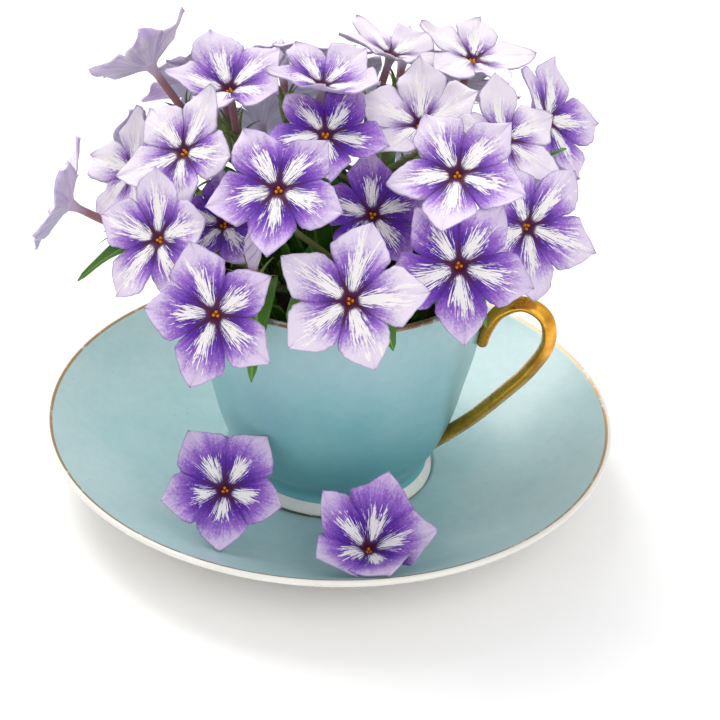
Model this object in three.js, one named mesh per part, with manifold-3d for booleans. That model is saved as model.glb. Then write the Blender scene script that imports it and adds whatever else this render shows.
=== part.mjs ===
// Annual phlox in a glazed demitasse cup with a gilded handle, standing on its saucer.
// Millimetres. Z is up, the origin is the middle of the saucer's foot on the table, and -Y is the front.

import * as THREE from 'three';
import { mergeVertices } from 'three/addons/utils/BufferGeometryUtils.js';
import Module from 'manifold-3d';

const wasm = await Module();
wasm.setup();

// Driving dimensions

const clearance = 0.3;

const saucerRadius = 62.5;
const saucerHeight = 15.9;
const saucerFootRadius = 33;
const saucerFootWidth = 3;
const saucerFootHeight = 1.8;
const saucerWellRadius = 26;
const saucerWellHeight = 3.4;
const saucerSides = 48;

// The cup was set down a little off the middle of its saucer.
const cupPlace = new THREE.Vector3(1.3, -3.3, saucerWellHeight + clearance);
const cupHeight = 53.2;
const cupRimRadius = 32;
const cupWall = 2;
const cupFootRadius = 21.8;
const cupFootHeight = 4.6;
const cupFloorHeight = 7.5;
const cupSides = 36;

// The handle's middle line, as distance from the cup's axis and height above the cup's foot.
const handleLine = [
  [21, 9.5], [25, 13], [30.5, 18.6], [36.6, 26], [42, 33.4], [45.1, 40.6],
  [44, 46.4], [39.6, 48.6], [35, 46.2], [32.2, 41.4], [30.4, 36.4],
];
const handleTurn = -15;
const handleThickness = 2.9;
const handleWidth = 4.6;
const handleSteps = 22;

const soilDepthBelowRim = 9;
const soilMound = 2;
const stemHoleDepth = 9;
const soilSides = 18;

const stemRadius = 1.2;
const stalkRadius = 0.65;
const calyxLength = 5.5;
const calyxRadius = 1.25;
const calyxFootRadius = 1.05;
const sepalLength = 6.5;
const sepalRootHeight = 1.2;
const sepalRootAngle = 20;
const sepalSpread = 40;

const petals = 5;
const tubeLength = 12;
const tubeRadius = 0.95;
const throatRadius = 2;
const throatDepth = 0.7;
const petalThickness = 0.7;
const budLength = 8;
const budRadius = 1.7;
const leafThickness = 0.7;

const colours = {
  glaze: 0x9fc4cb,
  gold: 0xc8932e,
  soil: 0x2a2018,
  green: 0x3f6b1e,
  violet: 0x5a18a8,
  lilac: 0xb9a4dc,
  pale: 0xded5ea,
};

// Blooms and buds of each leafy stem. The eye is the middle of the bloom's mouth. The bloom faces turn
// degrees to the right of the front and tilt degrees up, its first petal points spin degrees round from
// level right, its petals are radius long and rise cup degrees out of a flat star. A leaf springs at a
// share of the stem above the soil, rises by lift and falls to its tip.
const stems = {
  front_left: {
    root: [-6, -14],
    blooms: {
      front_left_low: { eye: [-22.8, -41, 63.2], turn: -20, tilt: 18, spin: 188, radius: 15, cup: 8, tone: 'violet' },
      front_left_high: { eye: [-35, -25.5, 70.6], turn: -40, tilt: 32, spin: 181, radius: 14.5, cup: 12, tone: 'lilac' },
      front_left_inner: { eye: [-22.7, -19, 71], turn: -20, tilt: 55, spin: 178, radius: 11.3, cup: 14, tone: 'violet' },
    },
    buds: {
      front_left: { eye: [-16, -32.2, 70.4], turn: -10, tilt: 84, spin: 90, tube: 5 },
    },
    leaves: [
      { at: 0.9, tip: [-15.8, -38, 46], width: 6.5, lift: 22 },
    ],
  },
  front: {
    root: [3, -15],
    blooms: {
      front_low: { eye: [3, -42, 68], turn: -10, tilt: 38, spin: 227, radius: 15.4, cup: 14, tone: 'pale' },
      front_high: { eye: [7, -18, 74], turn: 0, tilt: 38, spin: 238, radius: 12.5, cup: 10, tone: 'violet' },
      front_top: { eye: [-11.5, -30, 85], turn: -7, tilt: 48, spin: 198, radius: 14.2, cup: 6, tone: 'violet' },
    },
    leaves: [
      { at: 0.9, tip: [12, -38.5, 55], width: 7, lift: 12 },
      { at: 0.8, tip: [-9, -37, 60], width: 6, lift: 8 },
    ],
  },
  front_right: {
    root: [12, -11],
    blooms: {
      front_right_low: { eye: [24, -32, 71], turn: 5, tilt: 24, spin: 200, radius: 15.2, cup: 12, tone: 'violet' },
      front_right_high: { eye: [23, -22.5, 86], turn: -10, tilt: 55, spin: 198, radius: 14.8, cup: 10, tone: 'lilac' },
      right_low: { eye: [38, -18.4, 73], turn: 35, tilt: 20, spin: 111, radius: 15, cup: 15, tone: 'pale' },
    },
    leaves: [
      { at: 0.9, tip: [23, -36, 58], width: 7, lift: 10 },
      { at: 0.85, tip: [31, -25, 53], width: 6, lift: 14 },
    ],
  },
  left: {
    root: [-12, -1],
    blooms: {
      left_low: { eye: [-54.6, -9.4, 69.2], turn: -95, tilt: 24, spin: 200, radius: 13.5, cup: 15, tone: 'pale' },
      left_middle: { eye: [-42.4, -1.2, 73.2], turn: -60, tilt: 35, spin: 194, radius: 13.5, cup: 10, tone: 'pale' },
      left_high: { eye: [-31, -13.8, 84.2], turn: -45, tilt: 42, spin: 231, radius: 14, cup: 8, tone: 'lilac' },
    },
    leaves: [
      { at: 0.9, tip: [-53, -14, 54], width: 6, lift: 12 },
    ],
  },
  crown_left: {
    root: [-6, 5],
    blooms: {
      crown_left: { eye: [-23, 4, 90], turn: -26, tilt: 74, spin: 206, radius: 14.6, cup: 24, tone: 'lilac' },
      crown_far_left: { eye: [-40, 14, 90], turn: -125, tilt: 40, spin: 200, radius: 14, cup: 24, tone: 'pale' },
      crown_back_left: { eye: [-26, 21, 87], turn: 200, tilt: 55, spin: 90, radius: 13.5, cup: 12, tone: 'pale' },
    },
    leaves: [
      { at: 0.7, tip: [-40, 2, 72], width: 7, lift: 8 },
    ],
  },
  crown: {
    root: [3, -3],
    blooms: {
      crown: { eye: [-4, -1, 94], turn: 60, tilt: 80, spin: 136, radius: 13, cup: 20, tone: 'lilac' },
      crown_front: { eye: [-3, -12, 88.5], turn: 10, tilt: 66, spin: 122, radius: 13.4, cup: 6, tone: 'violet' },
      crown_right: { eye: [16, -4, 87.5], turn: -20, tilt: 62, spin: 176, radius: 14, cup: 20, tone: 'pale' },
    },
    leaves: [],
  },
  right: {
    root: [14, 2],
    blooms: {
      right_middle: { eye: [33, -8, 87], turn: 40, tilt: 50, spin: 150, radius: 13.5, cup: 8, tone: 'pale' },
      right_high: { eye: [43.5, 14.5, 81], turn: 62, tilt: 35, spin: 114, radius: 15, cup: 14, tone: 'lilac' },
      right_back: { eye: [42, 30, 64], turn: 125, tilt: 15, spin: 100, radius: 14, cup: 10, tone: 'violet' },
    },
    leaves: [
      { at: 0.95, tip: [45.6, -6, 84.7], width: 8, lift: 2 },
    ],
  },
  crown_back: {
    root: [4, 7],
    blooms: {
      crown_back: { eye: [-3.5, 24, 89], turn: 175, tilt: 64, spin: 100, radius: 13.5, cup: 12, tone: 'pale' },
      crown_back_right: { eye: [10, 18, 93], turn: 100, tilt: 75, spin: 100, radius: 14, cup: 15, tone: 'pale' },
      crown_far_right: { eye: [27, 15, 94], turn: 60, tilt: 72, spin: 100, radius: 13.5, cup: 14, tone: 'pale' },
    },
    buds: {
      crown_back: { eye: [-13, 33, 81], turn: 190, tilt: 55, spin: 90, tube: 5 },
    },
    leaves: [],
  },
  back_right: {
    root: [8, 13],
    blooms: {
      back_right_low: { eye: [19, 40, 64], turn: 160, tilt: 15, spin: 90, radius: 14, cup: 8, tone: 'violet' },
      back_right_high: { eye: [27, 32, 81], turn: 145, tilt: 40, spin: 110, radius: 14, cup: 8, tone: 'lilac' },
      back_high: { eye: [0, 38, 76], turn: 180, tilt: 40, spin: 126, radius: 14.5, cup: 8, tone: 'violet' },
    },
    buds: {
      back_right: { eye: [13, 34, 85], turn: 165, tilt: 55, spin: 90, tube: 5 },
    },
    leaves: [
      { at: 0.9, tip: [8, 38, 59], width: 7, lift: 15 },
      { at: 0.9, tip: [25, 30, 58], width: 7, lift: 14 },
    ],
  },
  back_left: {
    root: [-8, 11],
    blooms: {
      back_left_low: { eye: [-18, 41, 64], turn: 200, tilt: 15, spin: 90, radius: 14, cup: 8, tone: 'lilac' },
      back_left_side: { eye: [-44, 25, 64], turn: 232, tilt: 10, spin: 70, radius: 14, cup: 8, tone: 'violet' },
      back_left_high: { eye: [-32, 35, 78], turn: 215, tilt: 34, spin: 100, radius: 13.5, cup: 8, tone: 'lilac' },
    },
    leaves: [
      { at: 0.9, tip: [-30, 28, 58], width: 7, lift: 17 },
    ],
  },
};

// Blooms that have dropped onto the saucer.
const fallenBlooms = {
  fallen_bloom_left: { eye: [-21, -33.4, 16.3], turn: -5, tilt: 50, spin: 201, radius: 14, cup: 15, tube: 6, tone: 'violet' },
  fallen_bloom_front: { eye: [9, -46.5, 12.1], turn: 0, tilt: 70, spin: 73, radius: 15.5, cup: 36, tube: 3.5, tone: 'violet' },
};

// Joining and cutting

function merged(geometry) {
  const bare = geometry.clone();
  bare.deleteAttribute('normal');
  bare.deleteAttribute('uv');
  return mergeVertices(bare, 1e-4);
}

function solid(geometry) {
  const shape = merged(geometry);
  const mesh = new wasm.Mesh({
    numProp: 3,
    vertProperties: new Float32Array(shape.attributes.position.array),
    triVerts: new Uint32Array(shape.index.array),
  });
  mesh.merge();
  return new wasm.Manifold(mesh);
}

function geometryOf(manifold) {
  const mesh = manifold.getMesh();
  const geometry = new THREE.BufferGeometry();
  geometry.setAttribute('position', new THREE.BufferAttribute(mesh.vertProperties, 3));
  geometry.setIndex(new THREE.BufferAttribute(mesh.triVerts, 1));
  geometry.computeVertexNormals();
  return geometry;
}

function joined(geometries) {
  return geometryOf(geometries.map(solid).reduce((whole, next) => whole.add(next)));
}

function cut(geometry, tools) {
  return geometryOf(tools.map(solid).reduce((rest, tool) => rest.subtract(tool), solid(geometry)));
}

function named(name, geometry, colour, roughness, metalness = 0) {
  const material = new THREE.MeshStandardMaterial({ color: colours[colour], roughness, metalness });
  const mesh = new THREE.Mesh(geometry, material);
  mesh.name = name;
  return mesh;
}

// A ring profile of [radius, height] points, turned round the Z axis.
function turned(profile, sides) {
  const points = profile.map(([radius, height]) => new THREE.Vector2(radius, height));
  return new THREE.LatheGeometry(points, sides).rotateX(Math.PI / 2);
}

function between(profile, height) {
  const above = profile.findIndex((point) => point[1] >= height);
  const [low, high] = [profile[above - 1], profile[above]];
  const share = (height - low[1]) / (high[1] - low[1]);
  return low[0] + share * (high[0] - low[0]);
}

// Saucer

function saucer() {
  const footInside = saucerFootRadius - saucerFootWidth;
  const rise = saucerHeight - saucerWellHeight;
  const run = saucerRadius - 1.6 - saucerWellRadius;
  const inside = [0.97, 0.7, 0.4, 0.15].map((share) => [
    saucerWellRadius + run * share,
    saucerWellHeight + rise * share ** 2,
  ]);
  return turned([
    [0, saucerFootHeight],
    [footInside - 1, saucerFootHeight],
    [footInside, 0],
    [saucerFootRadius, 0],
    [saucerFootRadius + 1.2, 2],
    [saucerFootRadius + 12, 4.9],
    [saucerRadius - 6, 11],
    [saucerRadius - 0.3, saucerHeight - 1.5],
    [saucerRadius, saucerHeight - 0.6],
    [saucerRadius - 0.6, saucerHeight],
    ...inside,
    [saucerWellRadius, saucerWellHeight],
    [0, saucerWellHeight],
  ], saucerSides);
}

// Cup

const cupOutside = [
  [cupFootRadius - 2, cupFootHeight],
  [22.6, 8.6],
  [24.2, 12],
  [26.2, 18],
  [28, 26],
  [29.8, 34],
  [31, 43],
  [cupRimRadius, cupHeight - 0.7],
];

function cupInside() {
  return cupOutside
    .filter(([, height]) => height > cupFloorHeight + 3)
    .map(([radius, height]) => [radius - cupWall, height]);
}

function cup() {
  const inside = cupInside().reverse();
  return turned([
    [0, 4],
    [cupFootRadius - 4.6, 4],
    [cupFootRadius - 3.2, 0],
    [cupFootRadius - 0.4, 0],
    [cupFootRadius, 0.7],
    ...cupOutside,
    [cupRimRadius - 0.5, cupHeight],
    [cupRimRadius - 1.4, cupHeight],
    ...inside,
    [19, cupFloorHeight + 1],
    [0, cupFloorHeight],
  ], cupSides);
}

// Handle

function cupEnvelope() {
  const outside = cupOutside.map(([radius, height]) => [radius + clearance, height]);
  return turned([
    [0, -1],
    [cupFootRadius + clearance, -1],
    ...outside,
    [cupRimRadius + clearance, cupHeight + 1],
    [0, cupHeight + 1],
  ], cupSides);
}

// A flat-backed oval with a low ridge along its outside.
function handleSection() {
  const half = handleWidth / 2;
  const section = new THREE.Shape();
  section.moveTo(-handleThickness * 0.42, -half * 0.6);
  section.lineTo(0, -half);
  section.lineTo(handleThickness * 0.34, -half * 0.6);
  section.lineTo(handleThickness * 0.5, 0);
  section.lineTo(handleThickness * 0.34, half * 0.6);
  section.lineTo(0, half);
  section.lineTo(-handleThickness * 0.42, half * 0.6);
  section.lineTo(-handleThickness * 0.5, 0);
  section.closePath();
  return section;
}

function handle() {
  const path = new THREE.CatmullRomCurve3(
    handleLine.map(([distance, height]) => new THREE.Vector3(distance, 0, height)),
  );
  const strap = new THREE.ExtrudeGeometry(handleSection(), { steps: handleSteps, extrudePath: path });
  return cut(strap, [cupEnvelope()]);
}

// Potting soil

const soilTop = cupPlace.z + cupHeight - soilDepthBelowRim;

function stemRoot(stem) {
  return new THREE.Vector3(stem.root[0], stem.root[1], soilTop - stemHoleDepth + clearance);
}

function soil() {
  const wall = cupInside();
  const top = cupHeight - soilDepthBelowRim;
  const side = wall.filter(([, height]) => height < top - 2);
  const bottom = cupFloorHeight + 1 + clearance * 2;
  const profile = [
    [0, bottom],
    [18.4, bottom],
    ...side.map(([radius, height]) => [radius - clearance * 2, height + clearance]),
    [between(wall, top) - clearance * 2, top],
    [12, top + soilMound * 0.7],
    [0, top + soilMound],
  ];
  const holes = Object.values(stems).map((stem) => {
    const depth = stemHoleDepth + soilMound + 1;
    const hole = new THREE.CylinderGeometry(stemRadius + clearance * 2, stemRadius + clearance * 2, depth, 6);
    hole.rotateX(Math.PI / 2);
    hole.translate(
      stem.root[0] - cupPlace.x,
      stem.root[1] - cupPlace.y,
      soilTop - stemHoleDepth - cupPlace.z + depth / 2,
    );
    return hole;
  });
  return cut(turned(profile, soilSides), holes);
}

// Blooms

const degrees = Math.PI / 180;

// The same number between -1 and 1 for the same seed each time.
function wobble(seed) {
  const value = Math.sin(seed * 127.1 + 3.7) * 43758.5453;
  return 2 * (value - Math.floor(value)) - 1;
}

// Where a bloom's mouth faces, and the turned axes that its petals lie on.
function facing(bloom) {
  const turn = bloom.turn * degrees;
  const tilt = bloom.tilt * degrees;
  const out = new THREE.Vector3(
    Math.cos(tilt) * Math.sin(turn),
    -Math.cos(tilt) * Math.cos(turn),
    Math.sin(tilt),
  );
  const level = new THREE.Vector3(0, 0, 1).cross(out).normalize();
  const up = out.clone().cross(level);
  return new THREE.Matrix4().makeBasis(level, up, out);
}

function along(bloom, distance) {
  const out = new THREE.Vector3().setFromMatrixColumn(facing(bloom), 2);
  return new THREE.Vector3(...bloom.eye).addScaledVector(out, distance);
}

function lengthOfTube(bloom) {
  return bloom.tube ?? tubeLength;
}

// A petal's outline, as [angle from its middle line, share of its length], from notch to notch.
const petalOutline = [[-36, 0.42], [-30, 0.68], [-14, 0.87], [0, 1], [14, 0.87], [30, 0.68]];
const petalInside = [[-36, 0.24], [0, 0.55]];

// A ring of points round the bloom, each on its own petal.
function petalRing(bloom, outline, seed) {
  const ring = [];
  for (let petal = 0; petal < petals; petal += 1) {
    const bend = bloom.cup + 6 * wobble(seed + petal);
    const length = bloom.radius * (1 + 0.05 * wobble(seed + petal + 20));
    outline.forEach(([angle, share], index) => {
      const turn = (bloom.spin - petal * 360 / petals - angle) * degrees;
      const isNotch = index === 0;
      const reach = share * (isNotch ? bloom.radius : length);
      const rise = Math.tan((isNotch ? bloom.cup : bend) * degrees);
      const curl = (share > 0.9 ? 0.9 : 0) * wobble(seed + petal * 7 + index);
      const flat = reach / Math.hypot(1, rise);
      ring.push(new THREE.Vector3(Math.cos(turn) * flat, Math.sin(turn) * flat, flat * rise + curl));
    });
  }
  return ring;
}

function roundRing(radius, height, count, spin) {
  return Array.from({ length: count }, (_, index) => {
    const turn = (spin + 36 - index * 360 / count) * degrees;
    return new THREE.Vector3(Math.cos(turn) * radius, Math.sin(turn) * radius, height);
  });
}

// Joins two rings, which may differ in their number of points, by a band of triangles.
function band(lower, upper) {
  const triangles = [];
  let a = 0;
  let b = 0;
  while (a < lower.length || b < upper.length) {
    const stepLower = (a + 1) / lower.length <= (b + 1) / upper.length;
    if (b === upper.length || (a < lower.length && stepLower)) {
      triangles.push([lower[a], upper[b % upper.length], lower[(a + 1) % lower.length]]);
      a += 1;
    } else {
      triangles.push([lower[a % lower.length], upper[b], upper[(b + 1) % upper.length]]);
      b += 1;
    }
  }
  return triangles;
}

function fan(ring, centre) {
  return ring.map((point, index) => [point, centre, ring[(index + 1) % ring.length]]);
}

function fromTriangles(triangles) {
  const geometry = new THREE.BufferGeometry();
  geometry.setFromPoints(triangles.flat());
  const shape = merged(geometry);
  shape.computeVertexNormals();
  return shape;
}

// One corolla in one skin: up the outside of the tube, out along the back of the five petals,
// round their edge and back over their faces to the eye.
function corolla(bloom, seed) {
  const depth = lengthOfTube(bloom);
  const slope = bloom.cup * degrees;
  const back = new THREE.Vector3(0, 0, -petalThickness / Math.cos(slope));
  const behind = (ring) => ring.map((point) => point.clone().add(back));
  const edge = petalRing(bloom, petalOutline, seed);
  const middle = petalRing(bloom, petalInside, seed);
  const mouth = roundRing(throatRadius, throatRadius * Math.tan(slope), petals, bloom.spin);
  const neck = roundRing(tubeRadius, -throatDepth - petalThickness * 2, petals, bloom.spin);
  const base = roundRing(tubeRadius * 0.8, -depth, petals, bloom.spin);
  const rings = [base, neck, behind(mouth), behind(middle), behind(edge), edge, middle, mouth];
  const triangles = fan(base, new THREE.Vector3(0, 0, -depth)).map(([a, b, c]) => [c, b, a]);
  for (let index = 1; index < rings.length; index += 1) {
    triangles.push(...band(rings[index - 1], rings[index]));
  }
  triangles.push(...fan(mouth, new THREE.Vector3(0, 0, -throatDepth)));
  return fromTriangles(triangles);
}

function bloomMesh(name, bloom, seed) {
  const mesh = named(name, corolla(bloom, seed), bloom.tone, 0.7);
  mesh.quaternion.setFromRotationMatrix(facing(bloom));
  mesh.position.set(...bloom.eye);
  return mesh;
}

// A bud not yet open: its tube, and its five petals furled into a spindle.
function budMesh(name, bud) {
  const shape = turned([
    [0, -bud.tube],
    [tubeRadius * 0.8, -bud.tube],
    [tubeRadius, -2],
    [budRadius, budLength * 0.35],
    [budRadius * 0.8, budLength * 0.7],
    [0, budLength],
  ], petals);
  const mesh = named(name, shape, 'pale', 0.7);
  mesh.quaternion.setFromRotationMatrix(facing(bud));
  mesh.position.set(...bud.eye);
  return mesh;
}

// Leafy stems

function tube(path, radius, steps, sides = 5) {
  const section = new THREE.Shape(
    Array.from({ length: sides }, (_, index) => {
      const turn = index * 2 * Math.PI / sides;
      return new THREE.Vector2(radius * Math.cos(turn), radius * Math.sin(turn));
    }),
  );
  return new THREE.ExtrudeGeometry(section, { steps, extrudePath: path });
}

// The calyx: a short green cup round the foot of the bloom's tube, with five narrow spreading sepals.
// Each sepal grows from a short stretch of the cup's rim, under the middle of a petal.
function calyx(bloom) {
  const base = roundRing(calyxFootRadius, -calyxLength, petals, bloom.spin);
  const rootRing = (height) => roundRing(1, 0, petals, bloom.spin + 36).flatMap((side) => (
    [sepalRootAngle, -sepalRootAngle].map((turn) => side.clone()
      .applyAxisAngle(new THREE.Vector3(0, 0, 1), turn * degrees)
      .multiplyScalar(calyxRadius)
      .setZ(height))
  ));
  const low = rootRing(-sepalRootHeight);
  const high = rootRing(0);
  const triangles = fan(base, new THREE.Vector3(0, 0, -calyxLength)).map(([a, b, c]) => [c, b, a]);
  triangles.push(...band(base, low), ...fan(high, new THREE.Vector3(0, 0, 0)));
  for (let sepal = 0; sepal < petals; sepal += 1) {
    const [a, b, next] = [2 * sepal, 2 * sepal + 1, (2 * sepal + 2) % (2 * petals)];
    const tip = low[a].clone().add(low[b]).setZ(0).normalize();
    tip.multiplyScalar(calyxRadius + sepalLength * Math.sin(sepalSpread * degrees));
    tip.setZ(sepalLength * Math.cos(sepalSpread * degrees) - sepalRootHeight);
    triangles.push([low[a], high[a], tip], [high[a], high[b], tip], [high[b], low[b], tip], [low[b], low[a], tip]);
    triangles.push([low[b], high[b], low[next]], [low[next], high[b], high[next]]);
  }
  const shape = fromTriangles(triangles);
  const seat = along(bloom, -lengthOfTube(bloom) - clearance);
  return shape.applyMatrix4(facing(bloom).setPosition(seat));
}

function stalk(fork, bloom) {
  const foot = -lengthOfTube(bloom) - clearance - calyxLength;
  const end = along(bloom, foot + 1);
  const reach = fork.distanceTo(end);
  const before = along(bloom, foot - reach * 0.4);
  const start = fork.clone().lerp(new THREE.Vector3(fork.x, fork.y, fork.z + reach), 0.3);
  return tube(new THREE.CubicBezierCurve3(fork, start, before, end), stalkRadius, 4, 4);
}

// A lance-shaped leaf, folded a little along its midrib, which rises and then falls to its tip.
function leaf(root, { tip, width, lift }) {
  const end = new THREE.Vector3(...tip);
  const control = root.clone().lerp(end, 0.55);
  control.z += lift;
  const line = new THREE.QuadraticBezierCurve3(root, control, end);
  const stations = 5;
  const sections = [];
  for (let index = 0; index <= stations; index += 1) {
    const share = index / stations;
    const middle = line.getPoint(share);
    const forward = line.getTangent(share);
    const side = forward.clone().cross(new THREE.Vector3(0, 0, 1)).normalize();
    const up = side.clone().cross(forward);
    const half = 0.5 + (width / 2 - 0.5) * Math.sin(Math.PI * Math.min(share ** 0.85, 1)) ** 0.8;
    const wave = 0.12 * half * (index % 2 === 0 ? 1 : -1);
    const across = [-half, 0, half].map((offset, place) => {
      const rise = place === 1 ? -0.2 * half : wave * Math.sign(offset) + 0.1 * half;
      return middle.clone().addScaledVector(side, offset).addScaledVector(up, rise);
    });
    const under = across.map((point) => point.clone().addScaledVector(up, -leafThickness));
    sections.push([...across, ...under]);
  }
  const strips = [[0, 1], [1, 2], [2, 5], [5, 4], [4, 3], [3, 0]];
  const alike = [true, true, true, false, false, true];
  const triangles = [];
  for (let index = 0; index < stations; index += 1) {
    const [near, far] = [sections[index], sections[index + 1]];
    strips.forEach(([a, b], strip) => {
      if (alike[strip]) {
        triangles.push([near[a], near[b], far[b]], [near[a], far[b], far[a]]);
      } else {
        triangles.push([near[a], near[b], far[a]], [near[b], far[b], far[a]]);
      }
    });
  }
  for (const [section, flip] of [[sections[0], false], [sections[stations], true]]) {
    const [a, b, c, d, e, f] = section;
    const cap = [[a, e, b], [a, d, e], [b, f, c], [b, e, f]];
    triangles.push(...(flip ? cap.map(([p, q, r]) => [r, q, p]) : cap));
  }
  return fromTriangles(triangles);
}

function leafyStem(stem) {
  const blooms = Object.values(stem.blooms);
  const buds = Object.values(stem.buds ?? {});
  const root = stemRoot(stem);
  const top = new THREE.Vector3(root.x, root.y, soilTop + soilMound + 1);
  const calyxes = blooms.map((bloom) => along(bloom, -lengthOfTube(bloom) - calyxLength));
  const middle = calyxes.reduce((sum, point) => sum.add(point), new THREE.Vector3());
  middle.divideScalar(calyxes.length);
  const fork = top.clone().lerp(middle, 0.6);
  const bend = new THREE.Vector3(top.x, top.y, (top.z + fork.z) / 2);
  const line = new THREE.CurvePath();
  line.add(new THREE.LineCurve3(root, top));
  line.add(new THREE.QuadraticBezierCurve3(top, bend, fork));
  const parts = [tube(line, stemRadius, 5)];
  [...blooms, ...buds].forEach((bloom, index) => {
    parts.push(stalk(line.getPoint(0.99 - 0.05 * index), bloom), calyx(bloom));
  });
  for (const blade of stem.leaves) {
    parts.push(leaf(line.getPoint(0.5 + 0.5 * blade.at), blade));
  }
  return joined(parts);
}

// The whole plant in its cup

const phlox = new THREE.Group();

phlox.add(named('saucer', saucer(), 'glaze', 0.25));

const filledCup = new THREE.Group();
filledCup.position.copy(cupPlace);
phlox.add(filledCup);
filledCup.add(named('cup', cup(), 'glaze', 0.25));
filledCup.add(named('potting_soil', soil(), 'soil', 0.95));

const handleMesh = named('cup_handle', handle(), 'gold', 0.3, 1);
handleMesh.rotation.z = handleTurn * degrees;
filledCup.add(handleMesh);

let seed = 1;
for (const [place, stem] of Object.entries(stems)) {
  phlox.add(named(`stem_${place}`, leafyStem(stem), 'green', 0.7));
  for (const [name, bloom] of Object.entries(stem.blooms)) {
    phlox.add(bloomMesh(`bloom_${name}`, bloom, seed));
    seed += 1;
  }
  for (const [name, bud] of Object.entries(stem.buds ?? {})) {
    phlox.add(budMesh(`bud_${name}`, bud));
  }
}
for (const [name, bloom] of Object.entries(fallenBlooms)) {
  phlox.add(bloomMesh(name, bloom, seed));
  seed += 1;
}

export default phlox;
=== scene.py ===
# Annual phlox growing in a glazed demitasse cup with a gilded handle, standing on its saucer.
# Sizes and places of pieces are in millimetres, and become metres as a mesh is made. The camera,
# the lights, the table and the materials' patterns are in metres, so that a pattern of scale 500
# has patches 2 mm wide.

import bmesh
import bpy
import numpy as np
from mathutils import Matrix


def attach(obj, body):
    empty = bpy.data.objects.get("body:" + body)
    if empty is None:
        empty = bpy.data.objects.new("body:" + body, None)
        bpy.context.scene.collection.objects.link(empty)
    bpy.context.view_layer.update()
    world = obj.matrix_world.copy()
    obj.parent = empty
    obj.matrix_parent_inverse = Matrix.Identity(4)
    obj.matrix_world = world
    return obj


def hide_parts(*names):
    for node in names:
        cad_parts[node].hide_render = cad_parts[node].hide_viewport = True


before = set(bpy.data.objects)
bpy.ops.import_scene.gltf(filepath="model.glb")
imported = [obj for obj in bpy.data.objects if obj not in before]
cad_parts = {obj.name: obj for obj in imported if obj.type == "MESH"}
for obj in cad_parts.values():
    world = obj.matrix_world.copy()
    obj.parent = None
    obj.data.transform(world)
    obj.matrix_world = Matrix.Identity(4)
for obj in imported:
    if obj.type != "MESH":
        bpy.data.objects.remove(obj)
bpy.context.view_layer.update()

# Camera
# A long lens, a little under half a metre off, in front of the cup and 35 degrees above it.
# It looks a touch above the saucer's middle, and its roll of nearly three degrees turns the
# picture clockwise.

camera_distance = 0.4538
camera_height = np.radians(34.96)
camera_turn = np.radians(0.95)
camera_lift = np.radians(3.08)
camera_roll = np.radians(2.70)


def aimed_camera():
    """The camera's matrix: right, up and backward axes and its place, from the angles above."""
    place = camera_distance * np.array([0, -np.cos(camera_height), np.sin(camera_height)])
    dip = camera_lift - camera_height
    ahead = np.array([np.sin(camera_turn) * np.cos(dip), np.cos(camera_turn) * np.cos(dip), np.sin(dip)])
    level = np.array([np.cos(camera_turn), -np.sin(camera_turn), 0])
    above = np.cross(level, ahead)
    right = np.cos(camera_roll) * level + np.sin(camera_roll) * above
    up = -np.sin(camera_roll) * level + np.cos(camera_roll) * above
    matrix = np.eye(4)
    matrix[:3] = np.column_stack([right, up, -ahead, place])
    return Matrix(matrix.tolist())


lens = bpy.data.cameras.new("long_lens")
lens.lens = 100
lens.sensor_width = 36
camera = bpy.data.objects.new("camera", lens)
camera.matrix_world = aimed_camera()
bpy.context.collection.objects.link(camera)
bpy.context.scene.camera = camera
bpy.context.scene.view_settings.view_transform = "Standard"

# Table top and light
# A white table lit by a big soft window behind on the left, a weaker fill in front on the
# right, and the white of the room all round.


def linear(colour):
    """An sRGB hex colour, such as "5A18A8", as linear red, green, blue and alpha."""
    srgb = np.array([int(colour[place:place + 2], 16) for place in (0, 2, 4)]) / 255
    low = srgb / 12.92
    high = ((srgb + 0.055) / 1.055) ** 2.4
    return (*np.where(srgb <= 0.04045, low, high).tolist(), 1.0)


def add_node(tree, kind, inputs, output=0, **settings):
    """Adds a shader node with its settings, sets or links its inputs, and returns one output."""
    node = tree.nodes.new("ShaderNode" + kind)
    for name, value in settings.items():
        setattr(node, name, value)
    for name, value in inputs.items():
        if isinstance(value, bpy.types.NodeSocket):
            tree.links.new(value, node.inputs[name])
        else:
            node.inputs[name].default_value = value
    return node.outputs[output] if node.outputs else None


def new_material(name):
    """An empty node material and its tree."""
    material = bpy.data.materials.new(name)
    material.use_nodes = True
    material.node_tree.nodes.clear()
    return material, material.node_tree


cup_middle = (0, 0, 0.05)


def add_light(name, place, size, power, colour):
    """A square soft light that points at the middle of the cup."""
    light = bpy.data.lights.new(name, "AREA")
    light.size = size
    light.energy = power
    light.color = linear(colour)[:3]
    lamp = bpy.data.objects.new(name, light)
    backward = np.array(place) - cup_middle
    backward /= np.linalg.norm(backward)
    side = np.cross([0, 0, 1], backward)
    side /= np.linalg.norm(side)
    matrix = np.eye(4)
    matrix[:3] = np.column_stack([side, np.cross(backward, side), backward, place])
    lamp.matrix_world = Matrix(matrix.tolist())
    bpy.context.collection.objects.link(lamp)


table_paint, tree = new_material("white_table_paint")
# Its noise fills the table's own box three times over, so its white varies over some two metres.
grain = add_node(tree, "TexNoise", {"Scale": 3.0, "Detail": 2.0})
shade = add_node(tree, "Mix", {0: grain, 6: linear("FCFCFC"), 7: linear("FFFFFF")}, 2, data_type="RGBA")
shader = add_node(tree, "BsdfPrincipled", {"Base Color": shade, "Roughness": 0.8})
add_node(tree, "OutputMaterial", {0: shader})

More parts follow.
